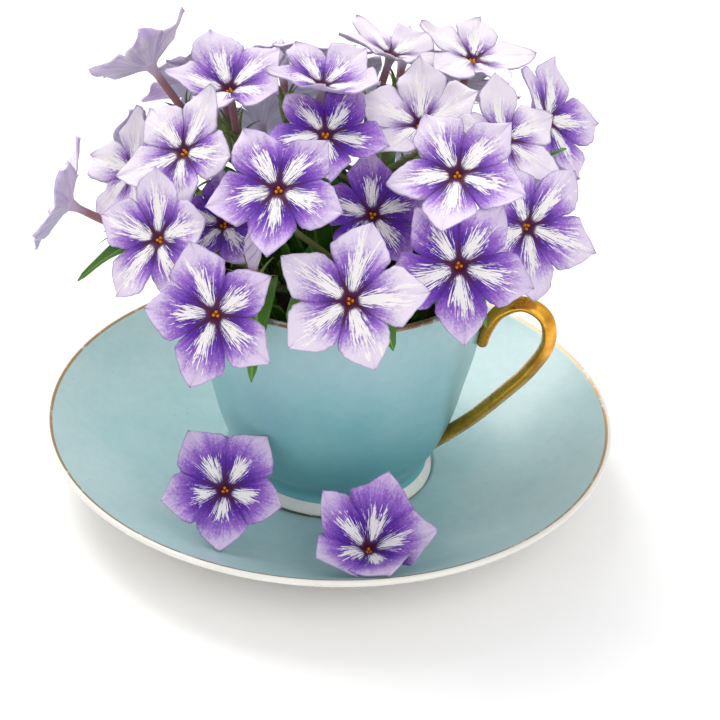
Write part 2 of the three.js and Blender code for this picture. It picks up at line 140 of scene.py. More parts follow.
table_reach = 3.0
table_mesh = bpy.data.meshes.new("table_top")
table_corners = [(x * table_reach, y * table_reach, 0) for x, y in ((-1, -1), (1, -1), (1, 1), (-1, 1))]
table_mesh.from_pydata(table_corners, [], [(0, 1, 2, 3)])
table_mesh.materials.append(table_paint)
table_top = bpy.data.objects.new("table_top", table_mesh)
bpy.context.collection.objects.link(table_top)

add_light("window", (-0.55, 0.75, 1.25), 0.9, 16, "FFFDF8")
add_light("front_fill", (0.5, -0.9, 0.9), 1.2, 5, "F8FAFF")
room = bpy.data.worlds.new("white_room")
bpy.context.scene.world = room
room.use_nodes = True
room.node_tree.nodes["Background"].inputs["Color"].default_value = linear("FFFFFF")
room.node_tree.nodes["Background"].inputs["Strength"].default_value = 0.75

# Saucer
# Porcelain, turned on a wheel: a foot ring, a shallow well for the cup and a wide rising rim.
# Pale blue glaze covers its face up to a white lip, edged by a worn line of gold.

turned_sides = 144
merge_distance = 2e-7
shortest_edge = 1e-8


def grid_faces(rows, columns, start=0, flipped=False, closed=False):
    """Quads between the neighbouring points of a grid; closed joins its last column to its first."""
    row, column = np.mgrid[:rows - 1, :columns if closed else columns - 1]
    after = (column + 1) % columns
    here, above = row * columns, (row + 1) * columns
    corners = [here + column, here + after, above + after, above + column]
    faces = np.stack(corners, axis=-1).reshape(-1, 4) + start
    return faces[:, ::-1] if flipped else faces


def add_piece(name, points, faces, materials, nodes, surface=None, marks=None):
    """
    Makes one mesh piece from points in millimetres and quads, in place of CAD nodes. surface
    numbers each face's material, and marks are named triples for each point that its pattern
    follows. Points that coincide are merged, and faces are turned outwards.
    """
    mesh = bpy.data.meshes.new(name)
    mesh.from_pydata((points / 1000).tolist(), [], faces.tolist())
    for material in materials:
        mesh.materials.append(material)
    if surface is not None:
        mesh.polygons.foreach_set("material_index", surface.astype(np.int32))
    for title, triples in (marks or {}).items():
        attribute = mesh.attributes.new(title, "FLOAT_VECTOR", "CORNER")
        attribute.data.foreach_set("vector", triples[faces.ravel()].astype(np.float32).ravel())
    shape = bmesh.new()
    shape.from_mesh(mesh)
    bmesh.ops.remove_doubles(shape, verts=shape.verts, dist=merge_distance)
    bmesh.ops.dissolve_degenerate(shape, edges=shape.edges, dist=shortest_edge)
    bmesh.ops.recalc_face_normals(shape, faces=shape.faces)
    shape.to_mesh(mesh)
    shape.free()
    mesh.polygons.foreach_set("use_smooth", np.ones(len(mesh.polygons), bool))
    piece = bpy.data.objects.new(name, mesh)
    bpy.context.collection.objects.link(piece)
    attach(piece, "root")
    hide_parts(*nodes)


def rounded(corners, spacing):
    """
    A profile of [radius, height] corners as evenly spaced points on the smooth curve through
    them: each coordinate is a cubic whose slope at a corner is that of its two neighbours.
    """
    corners = np.array(corners, float)
    step = np.linalg.norm(np.diff(corners, axis=0), axis=1)
    length = np.concatenate([[0], np.cumsum(np.sqrt(step))])
    slope = np.gradient(corners, length, axis=0)
    place = np.linspace(0, length[-1], int(step.sum() / spacing) + 2)
    index = np.clip(np.searchsorted(length, place, side="right") - 1, 0, len(step) - 1)
    width = (length[index + 1] - length[index])[:, None]
    share = ((place - length[index]) / width[:, 0])[:, None]
    start, end = corners[index], corners[index + 1]
    leave, arrive = slope[index] * width, slope[index + 1] * width
    return (
        (2 * share**3 - 3 * share**2 + 1) * start + (share**3 - 2 * share**2 + share) * leave
        + (3 * share**2 - 2 * share**3) * end + (share**3 - share**2) * arrive
    )


def stacked(x, y, z):
    """Three coordinates, of shapes that fit each other, as a grid of triples."""
    return np.stack(np.broadcast_arrays(x, y, z), axis=-1)


def turned(runs, sides, centre):
    """
    The surface of a profile of [radius, height] points turned a full circle about Z. The
    profile comes in runs, end to end, and each face gets the number of its run.
    """
    profile = np.concatenate(runs)
    run_of_row = np.repeat(np.arange(len(runs)), [len(run) for run in runs])[1:]
    angle = np.arange(sides) * 2 * np.pi / sides
    radius, height = profile[:, :1], profile[:, 1:]
    points = stacked(radius * np.cos(angle), radius * np.sin(angle), height).reshape(-1, 3)
    faces = grid_faces(len(profile), sides, closed=True)
    return points + centre, faces, np.repeat(run_of_row, sides)


def saucer_profile():
    """
    The saucer's section, in two runs: its white back up to the lip, and its blue face, which
    rises from the well as a parabola.
    """
    underside = [[0, 1.8], [15, 1.8], [28.4, 1.75], [29.6, 0.9], [30.3, 0.05]]
    back = [[30.8, 0], [32.3, 0], [32.9, 0.4], [33.7, 1.8], [38, 3.2], [46, 5.2]]
    edge = [[54.5, 9.6], [61, 13.7]]
    lip = [[62.2, 14.7], [62.5, 15.3], [62.3, 15.75], [61.8, 15.9], [61.4, 15.8], [60.9, 15.5]]
    floor, well_radius = 3.4, 26
    reach, rise = 34.9, 12.1
    share = np.linspace(0.95, 0, 7)
    face = np.column_stack([well_radius + reach * share, floor + rise * share**2]).tolist()
    well = [[24, floor], [23.2, 3.0], [22.4, 3.3], [12, floor], [0, floor]]
    return [rounded(run, 0.45) for run in (underside + back + edge + lip[:5], lip[4:] + face + well)]


def painted_glaze(name, centre, bands, wall):
    """
    Glazed porcelain: a soft clear coat over pooled colour, a few specks in the clay, and
    painted bands. Each band is its coordinate, its middle and half width in millimetres, how
    much of it is worn away, and its colour.
    """
    material, tree = new_material(name)
    place = add_node(tree, "TexCoord", {}, "Object")
    origin = [value / 1000 for value in centre]
    centred = add_node(tree, "VectorMath", {0: place, 1: origin}, operation="SUBTRACT")
    height = add_node(tree, "SeparateXYZ", {0: centred}, "Z")
    flat = add_node(tree, "VectorMath", {0: centred, 1: (1, 1, 0)}, operation="MULTIPLY")
    radius = add_node(tree, "VectorMath", {0: flat}, "Value", operation="LENGTH")
    # Clouds in the glaze are about 18 mm wide, and its mottle 2.4 mm.
    cloud = add_node(tree, "TexNoise", {"Vector": centred, "Scale": 55.0, "Detail": 4.0, "Roughness": 0.6})
    mottle = add_node(tree, "TexNoise", {
        "Vector": centred, "Scale": 420.0, "Detail": 3.0, "Roughness": 0.65,
    })
    colour = wall(tree, radius, height, cloud)
    tinge = add_node(tree, "MapRange", {0: mottle, 1: 0.3, 2: 0.7, 3: 0.96, 4: 1.03})
    colour = add_node(tree, "VectorMath", {0: colour, "Scale": tinge}, operation="SCALE")
    # Iron specks in the clay are about 0.4 mm wide and lie some millimetres apart.
    pits = add_node(tree, "TexVoronoi", {"Vector": centred, "Scale": 260.0, "Randomness": 1.0})
    rare = add_node(tree, "TexNoise", {"Vector": centred, "Scale": 190.0, "Detail": 0.0})
    pit = add_node(tree, "MapRange", {0: pits, 1: 0.07, 2: 0.03})
    chosen = add_node(tree, "MapRange", {0: rare, 1: 0.56, 2: 0.62, 4: 0.5})
    speck = add_node(tree, "Math", {0: pit, 1: chosen}, operation="MULTIPLY")
    colour = add_node(tree, "Mix", {0: speck, 6: colour, 7: linear("5A6A66")}, 2, data_type="RGBA")
    # The gold wears off in flakes of 3 mm and less.
    wear = add_node(tree, "TexNoise", {"Vector": centred, "Scale": 300.0, "Detail": 5.0, "Roughness": 0.7})
    # The paint fades out over a tenth of a millimetre at a band's edges.
    edge_fade = 0.12
    gilt = 0.0
    for axis, middle, half, worn, paint in bands:
        along = radius if axis == "radius" else height
        offset = add_node(tree, "Math", {0: along, 1: middle / 1000}, operation="SUBTRACT")
        distance = add_node(tree, "Math", {0: offset}, operation="ABSOLUTE")
        full = (half - edge_fade) / 1000
        inside = add_node(tree, "MapRange", {0: distance, 1: half / 1000, 2: full})
        kept = add_node(tree, "MapRange", {0: wear, 1: worn - 0.06, 2: worn + 0.06, 3: 0.1, 4: 0.95})
        band = add_node(tree, "Math", {0: inside, 1: kept}, operation="MULTIPLY")
        colour = add_node(tree, "Mix", {0: band, 6: colour, 7: linear(paint)}, 2, data_type="RGBA")
        gilt = add_node(tree, "Math", {0: band, 1: gilt}, operation="MAXIMUM")
    metallic = add_node(tree, "Math", {0: gilt, 1: 0.75}, operation="MULTIPLY")
    ripple = add_node(tree, "Bump", {"Height": mottle, "Strength": 0.03, "Distance": 0.0004})
    shader = add_node(tree, "BsdfPrincipled", {
        "Base Color": colour, "Metallic": metallic, "Roughness": 0.42,
        "Coat Weight": 0.35, "Coat Roughness": 0.2, "Normal": ripple,
    })
    add_node(tree, "OutputMaterial", {0: shader})
    return material


def saucer_blue(tree, radius, height, cloud):
    """The face's blue at any height, a little deeper where the glaze ran down to the well."""
    pooled = add_node(tree, "MapRange", {0: radius, 1: 0.020, 2: 0.060, 3: 0.85, 4: 0.1})
    uneven = add_node(tree, "MapRange", {0: cloud, 1: 0.3, 2: 0.7, 3: -0.3, 4: 0.3})
    depth = add_node(tree, "Math", {0: pooled, 1: uneven}, operation="ADD", use_clamp=True)
    return add_node(tree, "Mix", {0: depth, 6: linear("B4CDCF"), 7: linear("97C1C4")}, 2, data_type="RGBA")


def ivory_porcelain(tree, radius, height, cloud):
    """Porcelain under clear glaze alone: warm white, greyer in places, the same all over."""
    return add_node(tree, "Mix", {0: cloud, 6: linear("F1EFEA"), 7: linear("E2DED4")}, 2, data_type="RGBA")


saucer_centre = (0, 0, 0)
lip_line = ("radius", 61.45, 0.3, 0.40, "A88455")
face_line = ("radius", 61.35, 0.35, 0.40, "A88455")
glazes = [
    painted_glaze("saucer_white_porcelain", saucer_centre, [lip_line], ivory_porcelain),
    painted_glaze("saucer_blue_glaze", saucer_centre, [face_line], saucer_blue),
]
points, faces, surface = turned(saucer_profile(), turned_sides, saucer_centre)
add_piece("saucer_porcelain", points, faces, glazes, ["saucer"], surface)

# Cup
# A thin-walled porcelain bowl on a flared foot ring, glazed the saucer's blue outside and
# left ivory within and on its foot. It was set down a little off the saucer's middle.

cup_place = np.array([1.3, -3.3, 3.7])
cup_height = 53.2


def cup_profile():
    """The cup's section, in three runs: under its floor and round its foot, its wall, and its inside."""
    floor = [[0, 4], [12, 4], [17.0, 3.8], [18.1, 1.6], [18.8, 0.2]]
    foot = [[19.4, 0], [21.2, 0], [21.75, 0.5], [21.6, 1.4]]
    waist = [[20.6, 3.0], [20.1, 4.3], [20.7, 5.8]]
    wall = [[22.5, 8.4], [24.2, 12], [26.2, 18], [28, 26], [29.8, 34], [31, 43], [31.9, 51.6]]
    rim = [[32.0, 52.5], [31.75, 53.05], [31.2, cup_height], [30.6, 53.0], [30.3, 52.3]]
    inside = [[29.6, 48], [28.7, 42], [27.6, 34], [26, 26], [24.2, 18], [22.0, 12]]
    bottom = [[18, 8.4], [9, 7.5], [0, 7.5]]
    runs = [floor + foot + waist[:1], waist + wall + rim[:3], rim[2:] + inside + bottom]
    return [rounded(run, 0.5) for run in runs]


def cup_blue(tree, radius, height, cloud):
    """The wall's blue, the same all round, deeper towards the foot where the glaze ran down."""
    low = add_node(tree, "MapRange", {0: height, 1: 0.050, 2: 0.006})
    uneven = add_node(tree, "MapRange", {0: cloud, 1: 0.3, 2: 0.7, 3: -0.18, 4: 0.18})
    depth = add_node(tree, "Math", {0: low, 1: uneven}, operation="ADD", use_clamp=True)
    return add_node(tree, "Mix", {0: depth, 6: linear("9ABFC4"), 7: linear("64A9B0")}, 2, data_type="RGBA")


foot_line = ("height", 0.35, 0.4, 0.42, "9C8455")
rim_line = ("height", cup_height, 0.75, 0.40, "8A6B4A")
glazes = [
    painted_glaze("cup_foot_porcelain", cup_place, [foot_line], ivory_porcelain),
    painted_glaze("cup_blue_glaze", cup_place, [rim_line], cup_blue),
    painted_glaze("cup_inside_porcelain", cup_place, [rim_line], ivory_porcelain),
]
points, faces, surface = turned(cup_profile(), turned_sides, cup_place)
add_piece("cup_porcelain", points, faces, glazes, ["cup"], surface)

# Cup handle
# A porcelain strap in a question-mark loop with a ridge along its back, stuck to the wall at
# both ends and covered in burnished gold that is worn thin in patches.

handle_turn = np.radians(-15)
handle_line = [
    [21.6, 9.9], [25, 13], [30.5, 18.6], [36.6, 26], [42, 33.4], [45.1, 40.6],
    [44, 46.4], [39.6, 48.6], [35, 46.2], [32.2, 41.4], [31.2, 37.6],
]
handle_width = 4.6
handle_thickness = 2.9
handle_sides = 32
foot_flare = 0.35
end_taper = 0.22
ridge_height = 0.55
ridge_half_angle = 0.42


def swept(line, ring, normals):
    """
    A section carried along a line, closed at both ends. ring holds, for each point of the
    line, its section's [normal, sideways] offsets; sideways is square to line and normal.
    """
    along = np.gradient(line, axis=0)
    along /= np.linalg.norm(along, axis=1, keepdims=True)
    sideways = np.cross(along, normals)
    sideways /= np.linalg.norm(sideways, axis=1, keepdims=True)
    outward = np.cross(sideways, along)
    points = line[:, None] + ring[..., :1] * outward[:, None] + ring[..., 1:] * sideways[:, None]
    count = ring.shape[1]
    ends = np.repeat(line[[0, -1]][:, None], count, axis=1)
    whole = np.concatenate([ends[:1], points, ends[1:]])
    return whole.reshape(-1, 3), grid_faces(len(line) + 2, count, closed=True)


def handle_surface():
    """
    The strap: an oval section, ridged on its outer side, that flares at the lower foot and
    tapers to the curled top end.
    """
    flat_line = rounded(handle_line, 0.5)
    tangent = np.gradient(flat_line, axis=0)
    tangent /= np.linalg.norm(tangent, axis=1, keepdims=True)
    share = np.linspace(0, 1, len(flat_line))[:, None]
    angle = np.arange(handle_sides) * 2 * np.pi / handle_sides
    flare = 1 + foot_flare * np.exp(-share * 18) - end_taper * np.clip((share - 0.8) / 0.2, 0, 1) ** 2
    side = handle_width / 2 * np.sin(angle) * (1 - 0.06 * np.cos(2 * angle)) * flare
    from_ridge = np.angle(np.exp(1j * angle))
    ridge = ridge_height * np.exp(-(from_ridge / ridge_half_angle) ** 2)
    depth = (handle_thickness / 2 * np.cos(angle) * 0.88 + ridge - 0.1) * (0.85 + 0.15 * flare)
    turn = np.array([np.cos(handle_turn), np.sin(handle_turn), 0])
    up = np.array([0, 0, 1.0])
    line = flat_line[:, :1] * turn + flat_line[:, 1:] * up
    normals = -tangent[:, 1:] * turn + tangent[:, :1] * up
    return swept(line + cup_place, np.stack([-depth, side], axis=-1), normals)


def burnished_gold():
    """Gold fired over glaze: bright and slightly uneven, browner where it is worn or tarnished."""
    material, tree = new_material("burnished_gold_gilding")
    place = add_node(tree, "TexCoord", {}, "Object")
    # Worn patches are 4 to 5 mm wide. Marks of the burnisher are finer in life than the 0.7 mm here,
    # which lets them show.
    cloud = add_node(tree, "TexNoise", {"Vector": place, "Scale": 220.0, "Detail": 5.0, "Roughness": 0.65})
    fine = add_node(tree, "TexNoise", {"Vector": place, "Scale": 1500.0, "Detail": 3.0})
    worn = add_node(tree, "MapRange", {0: cloud, 1: 0.42, 2: 0.66})
    gold = add_node(tree, "Mix", {0: worn, 6: linear("E9AA3C"), 7: linear("BC842A")}, 2, data_type="RGBA")
    rough = add_node(tree, "MapRange", {0: cloud, 1: 0.3, 2: 0.7, 3: 0.2, 4: 0.38})
    bump = add_node(tree, "Bump", {"Height": fine, "Strength": 0.12, "Distance": 0.0002})
    shader = add_node(tree, "BsdfPrincipled", {
        "Base Color": gold, "Metallic": 0.9, "Roughness": rough, "Normal": bump,
    })
    add_node(tree, "OutputMaterial", {0: shader})
    return material


points, faces = handle_surface()
add_piece("cup_handle_gilded", points, faces, [burnished_gold()], ["cup_handle"])

# Potting soil
# Dark, damp, crumbly peat that fills the cup to nearly a centimetre below its rim and holds
# the stems. Its top is heaped a little in the middle.

soil_below_rim = 9.0
soil_top = cup_place[2] + cup_height - soil_below_rim
soil_mound = 2.0
soil_radius = 27
crumb_height = 0.45


def soil_surface():
    """A plug the cup's inside shape, whose top is raised and dented by waves of several lengths."""
    bottom = [[0, 8.2], [18, 8.2], [21.2, 12.4], [23.5, 18.4]]
    side = [[25.3, 26.3], [26.9, 34.2], [27.9, 42.5], [28.0, 43.8]]
    share = np.linspace(1, 0, 40)
    heap = cup_height - soil_below_rim + soil_mound * (1 - share**2)
    profile = np.concatenate([bottom, side, np.column_stack([soil_radius * share, heap])])
    points, faces, _ = turned([profile], 96, cup_place)
    x, y, z = points.T
    lumps = np.sin(1.9 * x + 1.3 * y) * np.sin(2.3 * y - 0.7 * x)
    crumbs = lumps + 0.6 * np.sin(4.1 * x) * np.sin(3.7 * y + 1)
    radius = np.hypot(x - cup_place[0], y - cup_place[1])
    inner = np.clip((soil_radius + 0.2 - radius) / 3, 0, 1) * (z > soil_top - 0.5)
    points[:, 2] += crumb_height * crumbs * inner
    return points, faces


def potting_peat():
    """Wet peat with paler fibres and bits of bark, rough all over."""
    material, tree = new_material("potting_peat")
    place = add_node(tree, "TexCoord", {}, "Object")
    # Lumps are about 1.7 mm wide, and the pale bits lie 1 mm apart.
    lumps = add_node(tree, "TexNoise", {"Vector": place, "Scale": 600.0, "Detail": 6.0, "Roughness": 0.7})
    bits = add_node(tree, "TexVoronoi", {"Vector": place, "Scale": 900.0})
    pale = add_node(tree, "MapRange", {0: bits, 1: 0.5, 2: 0.1, 4: 0.45})
    dark = add_node(tree, "Mix", {0: lumps, 6: linear("120C07"), 7: linear("2E2116")}, 2, data_type="RGBA")
    colour = add_node(tree, "Mix", {0: pale, 6: dark, 7: linear("4A3623")}, 2, data_type="RGBA")
    bump = add_node(tree, "Bump", {"Height": lumps, "Strength": 0.9, "Distance": 0.0008})
    shader = add_node(tree, "BsdfPrincipled", {"Base Color": colour, "Roughness": 0.95, "Normal": bump})
    add_node(tree, "OutputMaterial", {0: shader})
    return material


points, faces = soil_surface()
add_piece("potting_peat", points, faces, [potting_peat()], ["potting_soil"])

# Leafy stems
# Each green stem stands in the soil, forks into wiry stalks, and ends in calyces: little green
# cups with five thread-like sepals. Its lance-shaped leaves arch out between the blooms.

# A stem's place in the soil, its blooms, its unopened buds and its leaves. A bloom is its eye
# (the middle of its mouth), the degrees that it is turned right of the front and tilted up, the
# direction of its first petal, its radius, how far its petals cup, how dark its violet is and
# how large its white flames are. A bud is the mouth of its tube, its turn and its tilt. A leaf
# is its place on the upper half of the stem, its tip, its width and its arch.
stems = {
    "front_left": {
        "root": (-6, -14),
        "blooms": {
            "front_left_low": ((-22.8, -41, 63.2), -20, 18, 188, 15, 8, 0.75, 0.85),
            "front_left_high": ((-35, -25.5, 70.6), -40, 32, 181, 14.5, 12, 0.6, 1.15),
            "front_left_inner": ((-22.7, -19, 71), -20, 55, 178, 11.3, 14, 0.95, 0.8),
        },
        "buds": {"front_left": ((-16, -32.2, 70.4), -10, 84)},
        "leaves": [(0.9, (-15.8, -38, 46), 6.5, 22)],
    },
    "front": {
        "root": (3, -15),
        "blooms": {
            "front_low": ((3, -42, 68), -10, 38, 227, 15.4, 14, 0.55, 1.25),
            "front_high": ((7, -18, 74), 0, 38, 238, 12.5, 10, 1.0, 0.75),
            "front_top": ((-11.5, -30, 85), -7, 48, 198, 14.2, 6, 0.8, 0.9),
        },
        "buds": {},
        "leaves": [(0.9, (12, -38.5, 55), 7, 12), (0.8, (-9, -37, 60), 6, 8)],
    },
    "front_right": {
        "root": (12, -11),
        "blooms": {
            "front_right_low": ((24, -32, 71), 5, 24, 200, 15.2, 12, 0.8, 0.9),
            "front_right_high": ((23, -22.5, 86), -10, 55, 198, 14.8, 10, 0.66, 0.95),
            "right_low": ((38, -18.4, 73), 35, 20, 111, 15, 15, 0.62, 1.15),
        },
        "buds": {},
        "leaves": [(0.9, (23, -36, 58), 7, 10), (0.85, (31, -25, 53), 6, 14)],
    },
    "left": {
        "root": (-12, -1),
        "blooms": {
            "left_low": ((-54.6, -9.4, 69.2), -95, 24, 200, 13.5, 15, 0.2, 0.85),
            "left_middle": ((-42.4, -1.2, 73.2), -60, 35, 194, 13.5, 10, 0.42, 1.05),
            "left_high": ((-31, -13.8, 84.2), -45, 42, 231, 14, 8, 0.5, 1.15),
        },
        "buds": {},
        "leaves": [(0.9, (-53, -14, 54), 6, 12)],
    },
    "crown_left": {
        "root": (-6, 5),
        "blooms": {
            "crown_left": ((-23, 4, 90), -26, 74, 206, 14.6, 24, 0.6, 1.0),
            "crown_far_left": ((-40, 14, 90), -125, 40, 200, 14, 24, 0.15, 0.8),
            "crown_back_left": ((-26, 21, 87), 200, 55, 90, 13.5, 12, 0.2, 0.9),
        },
        "buds": {},
        "leaves": [(0.7, (-40, 2, 72), 7, 8)],
    },
    "crown": {
        "root": (3, -3),
        "blooms": {
            "crown": ((-4, -1, 94), 60, 80, 136, 13, 20, 0.6, 0.9),
            "crown_front": ((-3, -12, 88.5), 10, 66, 122, 13.4, 6, 0.95, 0.85),
            "crown_right": ((16, -4, 87.5), -20, 62, 176, 14, 20, 0.25, 1.05),
        },
        "buds": {},
        "leaves": [],
    },
    "right": {
        "root": (14, 2),
        "blooms": {
            "right_middle": ((33, -8, 87), 40, 50, 150, 13.5, 8, 0.35, 1.0),
            "right_high": ((43.5, 14.5, 81), 62, 35, 114, 15, 14, 0.66, 1.05),
            "right_back": ((42, 30, 64), 125, 15, 100, 14, 10, 0.6, 0.9),
        },
        "buds": {},
        "leaves": [(0.95, (45.6, -6, 84.7), 8, 2)],
    },
    "crown_back": {
        "root": (4, 7),
        "blooms": {
            "crown_back": ((-3.5, 24, 89), 175, 64, 100, 13.5, 12, 0.2, 0.9),
            "crown_back_right": ((10, 18, 93), 100, 75, 100, 14, 15, 0.2, 0.9),
            "crown_far_right": ((27, 15, 94), 60, 72, 100, 13.5, 14, 0.25, 1.0),
        },
        "buds": {"crown_back": ((-13, 33, 81), 190, 55)},
        "leaves": [],
    },
    "back_right": {
        "root": (8, 13),
        "blooms": {
            "back_right_low": ((19, 40, 64), 160, 15, 90, 14, 8, 0.7, 0.9),
            "back_right_high": ((27, 32, 81), 145, 40, 110, 14, 8, 0.4, 1.0),
            "back_high": ((0, 38, 76), 180, 40, 126, 14.5, 8, 0.6, 0.9),
        },
        "buds": {"back_right": ((13, 34, 85), 165, 55)},
        "leaves": [(0.9, (8, 38, 59), 7, 15), (0.9, (25, 30, 58), 7, 14)],
    },
    "back_left": {
        "root": (-8, 11),
        "blooms": {
            "back_left_low": ((-18, 41, 64), 200, 15, 90, 14, 8, 0.5, 1.0),
            "back_left_side": ((-44, 25, 64), 232, 10, 70, 14, 8, 0.7, 0.9),
            "back_left_high": ((-32, 35, 78), 215, 34, 100, 13.5, 8, 0.35, 1.0),
        },
        "buds": {},
        "leaves": [(0.9, (-30, 28, 58), 7, 17)],
    },
}

stem_radius = 1.2
stem_depth = 8.7
stalk_radius = 0.65
fork_share = 0.6
stalk_spacing = 0.05
calyx_length = 5.5
tube_length = 12.0
bud_tube_length = 5.0
tube_gap = 0.3
leaf_thickness = 0.3
leaf_foot = 0.35
leaf_end = 0.05
# The material numbers of the green parts, and how mauve the stalks and calyces are.
tissue, blade = 0, 1
stalk_blush = 0.6
calyx_blush = 0.35


def facing(turn, tilt):
    """Rows: a bloom's level axis, its upward axis and the way its mouth faces."""
    turn, tilt = np.radians([turn, tilt])
    out = np.array([np.cos(tilt) * np.sin(turn), -np.cos(tilt) * np.cos(turn), np.sin(tilt)])
    level = np.cross([0, 0, 1], out)
    level /= np.linalg.norm(level)
    return np.stack([level, np.cross(out, level), out])


def bezier(controls, count):
    """Points on the curve of three or four control points, weighted by Bernstein's polynomials."""
    controls = np.array(controls, float)
    degree = len(controls) - 1
    share = np.linspace(0, 1, count)[:, None]
    power = np.arange(degree + 1)
    binomial = [[1, 2, 1], [1, 3, 3, 1]][degree - 2]
    return (binomial * share**power * (1 - share) ** (degree - power)) @ controls


def at_share(line, share):
    """The point at a share of a line's length."""
    length = np.concatenate([[0], np.cumsum(np.linalg.norm(np.diff(line, axis=0), axis=1))])
    return np.array([np.interp(share * length[-1], length, line[:, axis]) for axis in range(3)])


def rod(line, radius, sides=8):
    """A round rod of a radius, or one radius a point, swept along a line."""
    angle = np.arange(sides) * 2 * np.pi / sides
    radius = np.broadcast_to(radius, len(line))[:, None]
    ring = np.stack([radius * np.cos(angle), radius * np.sin(angle)], axis=-1)
    across = np.eye(3)[np.argmin(np.abs(line[-1] - line[0]))]
    return swept(line, ring, np.broadcast_to(across, line.shape))


def slab_faces(rows, columns):
    """A thin slab's faces: an upper grid, a lower grid numbered after it, and the rim between."""
    number = np.arange(rows * columns).reshape(rows, columns)
    rim = np.concatenate([number[0], number[1:, -1], number[-1, -2::-1], number[-2:0:-1, 0]])
    after = np.roll(rim, -1)
    under = rows * columns
    band = np.stack([rim, after, after + under, rim + under], axis=1)
    lower = grid_faces(rows, columns, under, flipped=True)
    return np.concatenate([grid_faces(rows, columns), lower, band])


def calyx(axes, eye, tube, spin):
    """
    A ribbed cup round the foot of a bloom's tube: its radius swells from the stalk's and is
    waved five times round. Five sepals spring from its rim, each a tapering blade that curves
    out along a quadratic curve.
    """
    seat = -tube - tube_gap
    share = np.linspace(0, 1, 9)
    height = seat - calyx_length + share * (calyx_length + 1.2)
    angle = np.arange(20) * 2 * np.pi / 20
    swell = 0.7 + 0.62 * np.sin(np.pi / 2 * np.minimum(share * 1.7, 1))
    radius = swell[:, None] * (1 + 0.09 * np.cos(5 * angle) * share[:, None])
    line = stacked(0, 0, height)
    ring = np.stack([radius * np.cos(angle), radius * np.sin(angle)], axis=-1)
    parts = [swept(line, ring, np.broadcast_to([1, 0, 0], line.shape))]
    for sepal in range(5):
        turn = np.radians(spin + 36 + 72 * sepal)
        radial = np.array([np.cos(turn), np.sin(turn), 0])
        path = [[1.1, seat - 0.6], [1.5, seat + 2.4], [5.3, seat + 3.8]]
        line = bezier([reach * radial + [0, 0, rise] for reach, rise in path], 8)
        taper = 1 - np.linspace(0, 1, 8) ** 2 * 0.9
        corner = np.arange(6) * np.pi / 3
        section = np.stack([0.2 * np.cos(corner), 0.5 * np.sin(corner)], axis=-1)
        parts.append(swept(line, section * taper[:, None, None], np.broadcast_to(radial, line.shape)))
    return [(points @ axes + eye, faces) for points, faces in parts]


def leaf(root, tip, width, lift):
    """
    A lance-shaped blade on an arched middle line. Its half width follows a sine of its length,
    its cross-section is a shallow V, and its margin is gently waved.
    """
    root, tip = np.array(root), np.array(tip)
    rows, columns = 26, 11
    middle = bezier([root, root + 0.55 * (tip - root) + [0, 0, lift], tip], rows)
    share = np.linspace(0, 1, rows)[:, None]
    across = np.linspace(-1, 1, columns)
    forward = np.gradient(middle, axis=0)
    forward /= np.linalg.norm(forward, axis=1, keepdims=True)
    side = np.cross(forward, [0, 0, 1.0])
    side /= np.linalg.norm(side, axis=1, keepdims=True)
    up = np.cross(side, forward)
    half = leaf_foot + (width / 2 - leaf_foot) * np.sin(np.pi * share**0.85) ** 0.8
    half[-1] = leaf_end
    wave = 0.10 * half * across**2 * np.sin(share * 19 + width + across)
    rise = half * (0.34 * np.abs(across) ** 1.3 - 0.22) + wave
    upper = middle[:, None] + (across * half)[..., None] * side[:, None] + rise[..., None] * up[:, None]
    lower = upper - leaf_thickness * up[:, None]
    points = np.concatenate([upper, lower]).reshape(-1, 3)
    place = stacked(across, share, 0.0).reshape(-1, 3)
    return points, slab_faces(rows, columns), np.concatenate([place, place])


def leafy_stem(stem):
    """
    A stem's parts, each as points, faces, material number and marks. It rises straight, bends
    towards the middle of its blooms, and near its end gives off a curved stalk to each head.
    """
    top = np.array([*stem["root"], soil_top + soil_mound + 1])
    foot = np.array([*stem["root"], soil_top - stem_depth])
    heads = [(*bloom[:3], tube_length, bloom[3]) for bloom in stem["blooms"].values()]
    calyces = [np.array(eye) - (tube + calyx_length) * facing(turn, tilt)[2]
               for eye, turn, tilt, tube, spin in heads]
    heads += [(*bud, bud_tube_length, 90) for bud in stem["buds"].values()]
    fork = top + fork_share * (np.mean(calyces, axis=0) - top)
    bend = [top[0], top[1], (top[2] + fork[2]) / 2]
    line = np.concatenate([np.linspace(foot, top, 5)[:-1], bezier([top, bend, fork], 14)])
    parts = [(*rod(line, stem_radius * np.linspace(1.05, 0.8, len(line))), tissue, 0.0)]
    for index, (eye, turn, tilt, tube, spin) in enumerate(heads):
        axes = facing(turn, tilt)
        start = at_share(line, 0.99 - stalk_spacing * index)
        seat = -tube - tube_gap - calyx_length
        end = eye + (seat + 1) * axes[2]
        reach = np.linalg.norm(start - end)
        before = eye + (seat - 0.4 * reach) * axes[2]
        path = bezier([start, start + [0, 0, 0.3 * reach], before, end], 14)
        parts.append((*rod(path, stalk_radius, 7), tissue, stalk_blush))
        parts += [(*cup, tissue, calyx_blush) for cup in calyx(axes, np.array(eye), tube, spin)]
    for height, tip, width, lift in stem["leaves"]:
        points, faces, place = leaf(at_share(line, 0.5 + 0.5 * height), tip, width, lift)
        parts.append((points, faces, blade, place))
    return parts


def joined(parts):
    """Parts as one set of points and faces, with the faces' material numbers and the marks."""
    start = 0
    columns = []
    for points, faces, number, mark in parts:
        surface = np.full(len(faces), number)
        columns.append((points, faces + start, surface, np.broadcast_to(mark, points.shape)))
        start += len(points)
    return [np.concatenate(column) for column in zip(*columns)]


